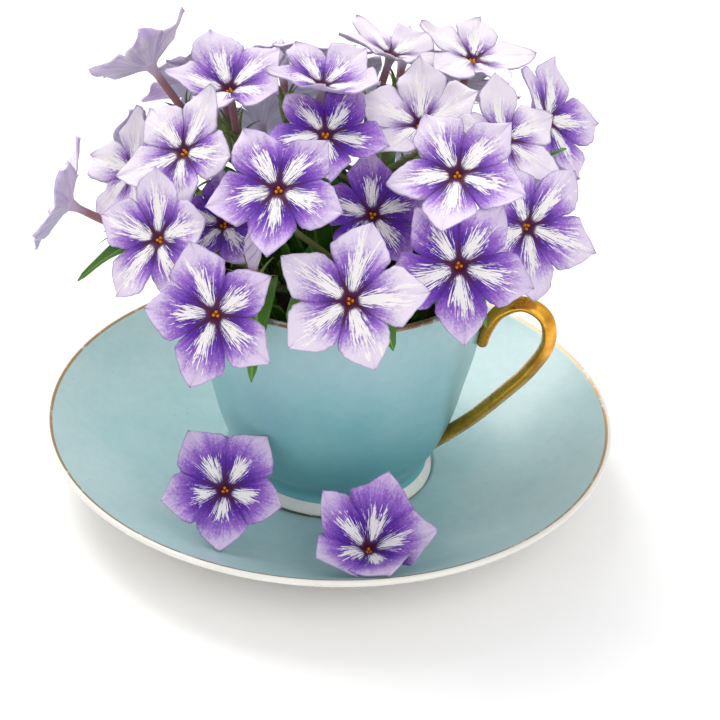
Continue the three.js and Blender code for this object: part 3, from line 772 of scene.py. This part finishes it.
def stem_tissue():
    """Stem and calyx: soft matt green, streaked, blushed mauve-brown where the light reaches it."""
    material, tree = new_material("green_stem_tissue")
    place = add_node(tree, "TexCoord", {}, "Object")
    mark = add_node(tree, "Attribute", {}, "Vector", attribute_name="place")
    blush = add_node(tree, "SeparateXYZ", {0: mark}, "X")
    # Patches 2 mm wide stand for streaks that would be too fine to show.
    streak = add_node(tree, "TexNoise", {"Vector": place, "Scale": 500.0, "Detail": 3.0})
    green = add_node(tree, "Mix", {0: streak, 6: linear("2F5213"), 7: linear("7A9A45")}, 2, data_type="RGBA")
    amount = add_node(tree, "Math", {0: blush, 1: streak}, operation="MULTIPLY")
    colour = add_node(tree, "Mix", {0: amount, 6: green, 7: linear("8C5A55")}, 2, data_type="RGBA")
    bump = add_node(tree, "Bump", {"Height": streak, "Strength": 0.3, "Distance": 0.0003})
    shader = add_node(tree, "BsdfPrincipled", {"Base Color": colour, "Roughness": 0.6, "Normal": bump})
    add_node(tree, "OutputMaterial", {0: shader})
    return material


def leaf_blade():
    """A leaf: deep green with a paler midrib and arched side veins, with a faint waxy shine."""
    material, tree = new_material("green_leaf_blade")
    mark = add_node(tree, "Attribute", {}, "Vector", attribute_name="place")
    across = add_node(tree, "SeparateXYZ", {0: mark}, "X")
    along = add_node(tree, "SeparateXYZ", {0: mark}, "Y")
    place = add_node(tree, "TexCoord", {}, "Object")
    # Clouds are about 8 mm wide, and each side of a leaf has some ten veins.
    cloud = add_node(tree, "TexNoise", {"Vector": place, "Scale": 130.0, "Detail": 4.0})
    off = add_node(tree, "Math", {0: across}, operation="ABSOLUTE")
    rib = add_node(tree, "MapRange", {0: off, 1: 0.05, 2: 0.14, 3: 1.0, 4: 0.0})
    slope = add_node(tree, "Math", {0: off, 1: -0.55, 2: along}, operation="MULTIPLY_ADD")
    phase = add_node(tree, "Math", {0: slope, 1: 62.0}, operation="MULTIPLY")
    wave = add_node(tree, "Math", {0: phase}, operation="SINE")
    vein = add_node(tree, "MapRange", {0: wave, 1: 0.82, 4: 0.35})
    line = add_node(tree, "Math", {0: rib, 1: vein}, operation="MAXIMUM")
    green = add_node(tree, "Mix", {0: cloud, 6: linear("26560F"), 7: linear("5E9C2C")}, 2, data_type="RGBA")
    colour = add_node(tree, "Mix", {0: line, 6: green, 7: linear("8DB558")}, 2, data_type="RGBA")
    bump = add_node(tree, "Bump", {"Height": line, "Strength": 0.35, "Distance": 0.0003}, invert=True)
    shader = add_node(tree, "BsdfPrincipled", {"Base Color": colour, "Roughness": 0.42, "Normal": bump})
    add_node(tree, "OutputMaterial", {0: shader})
    return material


plant_greens = [stem_tissue(), leaf_blade()]
for name, stem in stems.items():
    points, faces, surface, marks = joined(leafy_stem(stem))
    nodes = [f"stem_{name}"]
    add_piece(f"leafy_stem_{name}", points, faces, plant_greens, nodes, surface, {"place": marks})

# Low foliage
# Short leafy shoots between the stems hide the soil. Their leaves stand in a spiral, each
# turned by the golden angle from the one before, and the outer ones lean out to the rim.

shoot_leaves = 44
golden_angle = np.radians(137.5)
shoot_foot = soil_top - 1
shoot_arch = 3
shoots = []
for number in range(shoot_leaves):
    share = (number + 0.5) / shoot_leaves
    turn = golden_angle * number
    way = np.array([np.cos(turn), np.sin(turn)])
    start = cup_place[:2] + (4 + 17 * share) * way
    end = cup_place[:2] + (10 + 19 * share) * way
    tip_height = 69 - 9 * share + 3 * np.sin(number * 2.4)
    width = 6.5 + np.sin(number)
    points, faces, marks = leaf((*start, shoot_foot), (*end, tip_height), width, shoot_arch)
    shoots.append((points, faces, blade, marks))
points, faces, _, marks = joined(shoots)
add_piece("low_foliage", points, faces, [plant_greens[blade]], [], marks={"place": marks})

# Blooms
# Each bloom is one petal sheet: a thin tube that opens into a flat star of five broad pointed
# petals. White flames feather out over violet from a maroon star round the golden throat.

petal_thickness = 0.3
petal_notch = 0.34
# Half the width of a petal at shares of its length, past the notch that parts it from the next,
# both as shares of the bloom's radius.
petal_outline = [
    (0.34, 0.247), (0.39, 0.277), (0.45, 0.312), (0.51, 0.338), (0.57, 0.350), (0.63, 0.342),
    (0.70, 0.304), (0.77, 0.246), (0.84, 0.180), (0.91, 0.110), (0.96, 0.050), (1.0, 0.008),
]


def wobble(seed):
    """
    A number from -1 to 1, the same for the same seed each time: the far decimals of a sine,
    which large odd factors scatter.
    """
    value = np.sin(seed * 127.1 + 3.7) * 43758.5453
    return 2 * (value - np.floor(value)) - 1


def eased(value, low, high):
    """0 below low, 1 above high, and a smooth step between."""
    share = np.clip((value - low) / (high - low), 0, 1)
    return share * share * (3 - 2 * share)


def petal_half(share):
    """Half a petal's width: a fifth of the star up to the notch, then the outline."""
    outline = np.interp(share, *np.transpose(petal_outline))
    return np.where(share <= petal_notch, share * np.tan(np.pi / 5), outline)


def petal_face(radius, cup, seed, petal, share, across, breadth):
    """
    The upper face of one petal, at shares of its length and of its half width. It slopes up
    by the bloom's cup, and past the notch it has its own width, slope, bend, arch, trough,
    ruffle, twist, curled tip and midrib, each eased in so that neighbours meet below the notch.
    A small dent makes the throat.
    """
    own = eased(share, petal_notch, petal_notch + 0.3)
    past = share - petal_notch
    (wider, wave_start, bent, arched, hollow, ruffle_pace, ruffle_start,
     curled, oblique, twisted, fringe_start) = wobble(seed * 6.1 + petal + np.arange(11) * 31.7)
    wave = 0.035 * np.sin(share * 21 + 6 * wave_start)
    fringe = 0.02 * np.sin(share * 55 + across * 2 + 9 * fringe_start)
    half = petal_half(share) * (1 + own * (breadth - 1 + 0.12 * wider + wave))
    half = half * (1 + own * 0.09 * oblique * np.sign(across)) * (1 + own * fringe)
    size = radius * (1 + 0.05 * wobble(seed + petal + 20) * own)
    slope = np.radians(cup + 6 * wobble(seed + petal) * own)
    along = share * size * np.cos(slope)
    aside = across * half * size + own * 0.05 * bent * size * past * share
    arch = past**2 * (0.10 * arched - 0.05)
    trough = (0.26 + 0.30 * hollow) * (across * half) ** 2
    ruffle = 0.04 * across**2 * np.sin(share * (10 + 3 * ruffle_pace) + 3 * ruffle_start + across * 1.5)
    twist = (0.08 + 0.05 * twisted) * across * half
    curl = 0.06 * curled * eased(share, 0.75, 1.0)
    midrib = -0.025 * np.exp(-(across / 0.16) ** 2)
    throat = -1.1 * np.exp(-(share * radius / 0.95) ** 2)
    bulge = own * size * (arch + trough + ruffle + twist + curl + midrib)
    return along, aside, share * size * np.sin(slope) + bulge + throat


def turned_to_petal(spin, petal, along, aside, height):
    """Petal coordinates as points of the bloom, whose petals lie a fifth of a turn apart."""
    angle = np.radians(spin - 72 * petal)
    x = along * np.cos(angle) - aside * np.sin(angle)
    y = along * np.sin(angle) + aside * np.cos(angle)
    return stacked(x, y, height)


def corolla(bloom, seed, tube, breadth):
    """
    A bloom in one closed skin, built petal by petal: a grid for its face, and a grid for its
    back that runs on down the tube. They join along the margin past the notch. Each point's
    petal_place is its place across and along the petal and its distance from the margin in
    millimetres, which is taken as large below the notch and as negative on the back.
    """
    eye, turn, tilt, spin, radius, cup, violet, flame = bloom
    columns = 15
    across = np.linspace(-1, 1, columns)
    throat = [0, 0.02, 0.045, 0.075, 0.11]
    star = np.linspace(0.16, petal_notch, 6)
    lobe = np.linspace(petal_notch, 1, 25)[1:]
    share = np.concatenate([throat, star, lobe])[:, None]
    rows, first_back, notch_row = len(share), len(throat), len(throat) + len(star) - 1
    tube_radius = np.array([0, 0.75, 0.8, 0.85, 0.8, 0.85, 1.3])[:, None]
    tube_depth = np.array([tube, tube, tube * 0.8, tube * 0.5, tube * 0.25, 1.9, 0.75])[:, None]
    flange = tube_radius[-1, 0] * np.tan(np.radians(cup))
    fan = across * np.pi / 5
    neck_height = flange * (tube_radius > 1) - tube_depth
    tube_points = tube_radius * np.cos(fan), tube_radius * np.sin(fan), neck_height
    half = petal_half(share)
    far_off, behind = 9, -1
    from_margin = np.minimum((1 - np.abs(across)) * half, (1 - share) * 0.7) * radius
    from_margin = from_margin + far_off * (share <= petal_notch)
    face_mark = stacked(across * half, share, from_margin)
    neck_mark = stacked(0.05 * across, -tube_depth / tube_length, behind)
    back_mark = stacked(across * half, share, behind)[first_back:]
    petal_mark = np.concatenate([face_mark, neck_mark, back_mark]).reshape(-1, 3)
    points, faces, kinds = [], [], []
    for petal in range(5):
        petal_points = petal_face(radius, cup, seed, petal, share, across, breadth)
        face = turned_to_petal(spin, petal, *petal_points)
        neck = turned_to_petal(spin, petal, *tube_points)
        back = face[first_back:] - [0, 0, petal_thickness]
        points.append(np.concatenate([face, neck, back]).reshape(-1, 3))
        start = petal * len(petal_mark)
        number = np.arange(rows * columns).reshape(rows, columns) + start
        under = start + rows * columns
        shift = (rows + len(tube_radius) - first_back) * columns
        border = np.concatenate([number[notch_row:, 0], number[-1, 1:-1], number[notch_row:, -1][::-1]])
        faces += [
            grid_faces(rows, columns, start),
            grid_faces(rows - first_back + len(tube_radius), columns, under, flipped=True),
            np.stack([border[:-1], border[1:], border[1:] + shift, border[:-1] + shift], axis=1),
        ]
        darker, longer = wobble(seed * 2.3 + petal + np.array([3, 40]))
        kind = [violet + 0.08 * darker, flame * (1 + 0.15 * longer), seed * 1.7 + petal * 0.37]
        kinds.append(np.broadcast_to(kind, petal_mark.shape))
    marks = {"petal_place": np.tile(petal_mark, (5, 1)), "bloom_kind": np.concatenate(kinds)}
    return np.concatenate(points) @ facing(turn, tilt) + eye, np.concatenate(faces), marks


def petal_skin():
    """
    Petal: a satin, slightly crinkled skin. From the throat out it is golden, maroon, deep
    violet and then fades to near white; a streaked white flame lies along each petal's middle,
    a thin violet line edges the margin, and the back is pale lilac down to a mauve tube.
    """
    material, tree = new_material("phlox_petal_skin")
    place = add_node(tree, "Attribute", {}, "Vector", attribute_name="petal_place")
    across, along, margin = (add_node(tree, "SeparateXYZ", {0: place}, axis) for axis in "XYZ")
    kind = add_node(tree, "Attribute", {}, "Vector", attribute_name="bloom_kind")
    depth, flame, seed = (add_node(tree, "SeparateXYZ", {0: kind}, axis) for axis in "XYZ")
    off = add_node(tree, "Math", {0: across}, operation="ABSOLUTE")
    beyond = add_node(tree, "Math", {0: along, 1: 0.06}, operation="ADD")
    ray = add_node(tree, "Math", {0: across, 1: beyond}, operation="DIVIDE")
    wide = add_node(tree, "Math", {0: off, 1: beyond}, operation="DIVIDE")

    # Streaks run out along the petal: broad ones, fine ones and short dabs. Halfway out they are
    # about 1, 0.2 and 0.3 mm wide, and 9, 5 and 1.3 mm long.
    streaks = []
    for sideways, outwards in ((9.0, 1.6), (38.0, 3.2), (26.0, 11.0)):
        x = add_node(tree, "Math", {0: ray, 1: sideways}, operation="MULTIPLY")
        y = add_node(tree, "Math", {0: along, 1: outwards}, operation="MULTIPLY")
        z = add_node(tree, "Math", {0: seed, 1: 3.7}, operation="MULTIPLY")
        point = add_node(tree, "CombineXYZ", {0: x, 1: y, 2: z})
        noise = add_node(tree, "TexNoise", {
            "Vector": point, "Scale": 1.0, "Detail": 3.0, "Roughness": 0.6,
        })
        streaks.append(add_node(tree, "Math", {0: noise, 1: 0.5}, operation="SUBTRACT"))
    coarse, fine, dabs = streaks
    # The grain of the petal's skin is finer in life than the 0.45 mm here, which lets it show.
    skin = add_node(tree, "TexCoord", {}, "Object")
    grain = add_node(tree, "TexNoise", {"Vector": skin, "Scale": 2200.0, "Detail": 2.0})
    grain = add_node(tree, "Math", {0: grain, 1: 0.5}, operation="SUBTRACT")

    # The violet reaches further out on a darker bloom.
    outer = add_node(tree, "Math", {0: off, 1: off}, operation="MULTIPLY")
    fading = add_node(tree, "Math", {0: outer, 1: 0.9, 2: along}, operation="MULTIPLY_ADD")
    fading = add_node(tree, "Math", {0: coarse, 1: 0.35, 2: fading}, operation="MULTIPLY_ADD")
    reach = add_node(tree, "Math", {0: depth, 1: 0.55, 2: 0.2}, operation="MULTIPLY_ADD")
    violet = add_node(tree, "Math", {0: reach, 1: fading}, operation="SUBTRACT")
    violet = add_node(tree, "Math", {0: violet, 1: 1.8, 2: 0.5}, operation="MULTIPLY_ADD")
    violet = add_node(tree, "Math", {0: fine, 1: 0.35, 2: violet}, operation="MULTIPLY_ADD")
    violet = add_node(tree, "Math", {
        0: grain, 1: 0.45, 2: violet,
    }, operation="MULTIPLY_ADD", use_clamp=True)
    strength = add_node(tree, "MapRange", {0: depth, 1: 0.1, 2: 0.7, 3: 0.6})
    violet = add_node(tree, "Math", {0: violet, 1: strength}, operation="MULTIPLY")
    lilac = add_node(tree, "MapRange", {0: violet, 1: 0.05, 2: 0.6}, interpolation_type="SMOOTHSTEP")
    deep = add_node(tree, "MapRange", {0: violet, 1: 0.4, 2: 1.0}, interpolation_type="SMOOTHSTEP")
    dark = add_node(tree, "MapRange", {0: along, 1: 0.42, 2: 0.15, 4: 0.8})
    tinted = add_node(tree, "MapRange", {0: depth, 1: 0.4, 2: 0.95})
    pale = add_node(tree, "Mix", {0: tinted, 6: linear("E6DCE9"), 7: linear("D0BAE0")}, 2, data_type="RGBA")
    colour = pale
    for amount, paint in ((lilac, "9666C4"), (deep, "571C9F"), (dark, "33095F")):
        colour = add_node(tree, "Mix", {0: amount, 6: colour, 7: linear(paint)}, 2, data_type="RGBA")

    # The flame widens outwards from the throat, and its rim is torn into streaks and specks.
    middle = add_node(tree, "Math", {0: along, 1: 0.33}, operation="SUBTRACT")
    length = add_node(tree, "Math", {0: flame, 1: 0.32}, operation="MULTIPLY")
    out = add_node(tree, "Math", {0: middle, 1: length}, operation="DIVIDE")
    out = add_node(tree, "Math", {0: out, 1: out}, operation="MULTIPLY")
    fan = add_node(tree, "Math", {0: along, 1: 0.15, 2: 0.045}, operation="MULTIPLY_ADD")
    aside = add_node(tree, "Math", {0: off, 1: fan}, operation="DIVIDE")
    aside = add_node(tree, "Math", {0: aside, 1: aside}, operation="MULTIPLY")
    inside = add_node(tree, "Math", {0: out, 1: aside}, operation="ADD")
    inside = add_node(tree, "Math", {0: inside}, operation="SQRT")
    inside = add_node(tree, "Math", {0: 1.02, 1: inside}, operation="SUBTRACT")
    for streak, amount in ((coarse, 1.5), (fine, 4.4), (dabs, -2.2)):
        inside = add_node(tree, "Math", {0: streak, 1: amount, 2: inside}, operation="MULTIPLY_ADD")
    white = add_node(tree, "MapRange", {0: inside, 2: 0.16})
    clear = add_node(tree, "MapRange", {0: along, 1: 0.1, 2: 0.14})
    white = add_node(tree, "Math", {0: white, 1: clear}, operation="MULTIPLY")

    # The maroon star reaches furthest between the petals, round the golden throat.
    arm = add_node(tree, "Math", {0: wide, 1: 4.0}, operation="POWER")
    arm = add_node(tree, "Math", {0: arm, 1: 1.7, 2: 0.1}, operation="MULTIPLY_ADD")
    arm = add_node(tree, "Math", {0: fine, 1: 0.3, 2: arm}, operation="MULTIPLY_ADD")
    past = add_node(tree, "Math", {0: along, 1: arm}, operation="SUBTRACT")
    star = add_node(tree, "MapRange", {0: past, 1: 0.03, 2: -0.01})
    throat = add_node(tree, "MapRange", {0: along, 1: 0.055, 2: 0.02})
    edge = add_node(tree, "MapRange", {0: margin, 1: 0.28, 2: 0.05, 4: 0.5})
    for amount, paint in ((white, "F0EBEA"), (star, "4A022A"), (throat, "9A3D10"), (edge, "6B48AE")):
        colour = add_node(tree, "Mix", {0: amount, 6: colour, 7: linear(paint)}, 2, data_type="RGBA")

    # The back, which has a negative margin: veined pale lilac, then mauve down the tube.
    veined = add_node(tree, "MapRange", {0: coarse, 1: -0.2, 2: 0.2})
    under = add_node(tree, "Mix", {0: veined, 6: linear("DDD3E2"), 7: linear("BBA4D2")}, 2, data_type="RGBA")
    down = add_node(tree, "MapRange", {0: along, 1: 0.05, 2: -0.35})
    under = add_node(tree, "Mix", {0: down, 6: under, 7: linear("94696E")}, 2, data_type="RGBA")
    behind = add_node(tree, "MapRange", {0: margin, 1: -0.1, 2: -0.6})
    colour = add_node(tree, "Mix", {0: behind, 6: colour, 7: under}, 2, data_type="RGBA")

    relief = add_node(tree, "Math", {0: fine, 1: dabs}, operation="ADD")
    bump = add_node(tree, "Bump", {"Height": relief, "Strength": 0.25, "Distance": 0.0003})
    shader = add_node(tree, "BsdfPrincipled", {
        "Base Color": colour, "Roughness": 0.55, "Specular IOR Level": 0.3,
        "Sheen Weight": 0.05, "Normal": bump,
    })
    add_node(tree, "OutputMaterial", {0: shader})
    return material


def pollen():
    """Anthers: matt orange-gold with a dusty grain."""
    material, tree = new_material("golden_pollen")
    place = add_node(tree, "TexCoord", {}, "Object")
    # Grains of pollen are finer in life than the 0.25 mm here, which lets them show.
    dust = add_node(tree, "TexNoise", {"Vector": place, "Scale": 4000.0, "Detail": 2.0})
    colour = add_node(tree, "Mix", {0: dust, 6: linear("B85A08"), 7: linear("F5B02A")}, 2, data_type="RGBA")
    bump = add_node(tree, "Bump", {"Height": dust, "Strength": 0.5, "Distance": 0.0001})
    shader = add_node(tree, "BsdfPrincipled", {"Base Color": colour, "Roughness": 0.8, "Normal": bump})
    add_node(tree, "OutputMaterial", {0: shader})
    return material


anther_ring = 0.52
anther_turns = np.array([20, 150, 260])
anther_radius = [0.1, 0.3, 0.36, 0.36, 0.3, 0.1]


def add_bloom(name, nodes, bloom, seed, tube, breadth=1.0):
    """A corolla and the three anthers that show in its mouth, which are short plump rods."""
    eye, turn, tilt, spin = bloom[:4]
    points, faces, marks = corolla(bloom, seed, tube, breadth)
    surface = np.zeros(len(faces))
    height = np.linspace(-1.5, 0.05, len(anther_radius))
    for angle in np.radians(spin + anther_turns):
        line = stacked(anther_ring * np.cos(angle), anther_ring * np.sin(angle), height)
        anther, anther_faces = rod(line, anther_radius, 6)
        faces = np.concatenate([faces, anther_faces + len(points)])
        surface = np.concatenate([surface, np.ones(len(anther_faces))])
        points = np.concatenate([points, anther @ facing(turn, tilt) + eye])
    spare = len(points) - len(marks["petal_place"])
    marks = {title: np.pad(triples, ((0, spare), (0, 0))) for title, triples in marks.items()}
    add_piece(name, points, faces, bloom_materials, nodes, surface, marks)


bloom_materials = [petal_skin(), pollen()]
# Each bloom's own number is the seed of its chances.
seed = 1
for stem in stems.values():
    for name, bloom in stem["blooms"].items():
        add_bloom(f"petals_{name}", [f"bloom_{name}"], bloom, seed, tube_length)
        seed += 1

# Fallen blooms
# Two blooms dropped onto the saucer. Their tubes are bent short under them, and their petals
# are darker and broader than most.

fallen_breadth = 1.16
# Each is a bloom as in the stems' table, and the length of its tube.
fallen_blooms = {
    "fallen_bloom_left": (((-21.2, -33.9, 16.8), -5, 50, 201, 14, 15, 0.85, 0.5), 6.0),
    "fallen_bloom_front": (((9, -46.5, 12.1), 0, 70, 73, 15.5, 36, 0.85, 0.6), 3.5),
}
for name, (bloom, tube) in fallen_blooms.items():
    add_bloom(f"petals_{name}", [name], bloom, seed, tube, fallen_breadth)
    seed += 1

# Buds
# A bud's five petals are still furled round each other into a twisted, pointed spindle on
# a short tube, near white with violet seams.

bud_length = 8.0
bud_radius = 1.7
bud_sides = 40
bud_twist = 0.45
furl_depth = 0.16


def furled_bud(eye, turn, tilt):
    """
    A spindle swept up the bud's axis. Its radius steps five times round, and the steps turn
    with height, so that the furled petals wind about each other.
    """
    profile = rounded([
        [0.75, -bud_tube_length], [0.8, -3.5], [0.95, -1.5], [1.45, 0.8], [bud_radius, 2.9],
        [1.5, 5.0], [0.9, 6.8], [0.12, bud_length],
    ], 0.35)
    radius, height = profile[:, :1], profile[:, 1:]
    angle = np.arange(bud_sides) * 2 * np.pi / bud_sides
    seam = (angle - height * bud_twist) * 5 / (2 * np.pi) % 1
    depth = furl_depth * eased(height, -0.5, 1.5)
    reach = radius * (1 - depth * (0.5 - seam) * 1.4)
    ring = np.stack([reach * np.cos(angle), reach * np.sin(angle)], axis=-1)
    line = height * np.array([0, 0, 1])
    points, faces = swept(line, ring, np.broadcast_to([1, 0, 0], line.shape))
    place = stacked(seam, height, 0.0)
    place = np.concatenate([place[:1], place, place[-1:]]).reshape(-1, 3)
    return points @ facing(turn, tilt) + eye, faces, place


def bud_skin():
    """Furled petals: near white, with a violet seam along each petal's edge and a mauve tube."""
    material, tree = new_material("phlox_bud_skin")
    mark = add_node(tree, "Attribute", {}, "Vector", attribute_name="bud_place")
    seam, height = (add_node(tree, "SeparateXYZ", {0: mark}, axis) for axis in "XY")
    place = add_node(tree, "TexCoord", {}, "Object")
    # Clouds on the furled petals are about 1.4 mm wide.
    cloud = add_node(tree, "TexNoise", {"Vector": place, "Scale": 700.0, "Detail": 3.0})
    pale = add_node(tree, "Mix", {0: cloud, 6: linear("E9E2EA"), 7: linear("C3AAD6")}, 2, data_type="RGBA")
    line = add_node(tree, "MapRange", {0: seam, 1: 0.2, 2: 0.03, 4: 0.8})
    colour = add_node(tree, "Mix", {0: line, 6: pale, 7: linear("7A4FB8")}, 2, data_type="RGBA")
    low = add_node(tree, "MapRange", {0: height, 1: 0.0, 2: -2.5})
    colour = add_node(tree, "Mix", {0: low, 6: colour, 7: linear("94696E")}, 2, data_type="RGBA")
    bump = add_node(tree, "Bump", {"Height": cloud, "Strength": 0.2, "Distance": 0.0002})
    shader = add_node(tree, "BsdfPrincipled", {"Base Color": colour, "Roughness": 0.55, "Normal": bump})
    add_node(tree, "OutputMaterial", {0: shader})
    return material


bud_material = bud_skin()
for stem in stems.values():
    for name, bud in stem["buds"].items():
        points, faces, place = furled_bud(*bud)
        add_piece(
            f"furled_bud_{name}", points, faces, [bud_material], [f"bud_{name}"],
            marks={"bud_place": place},
        )
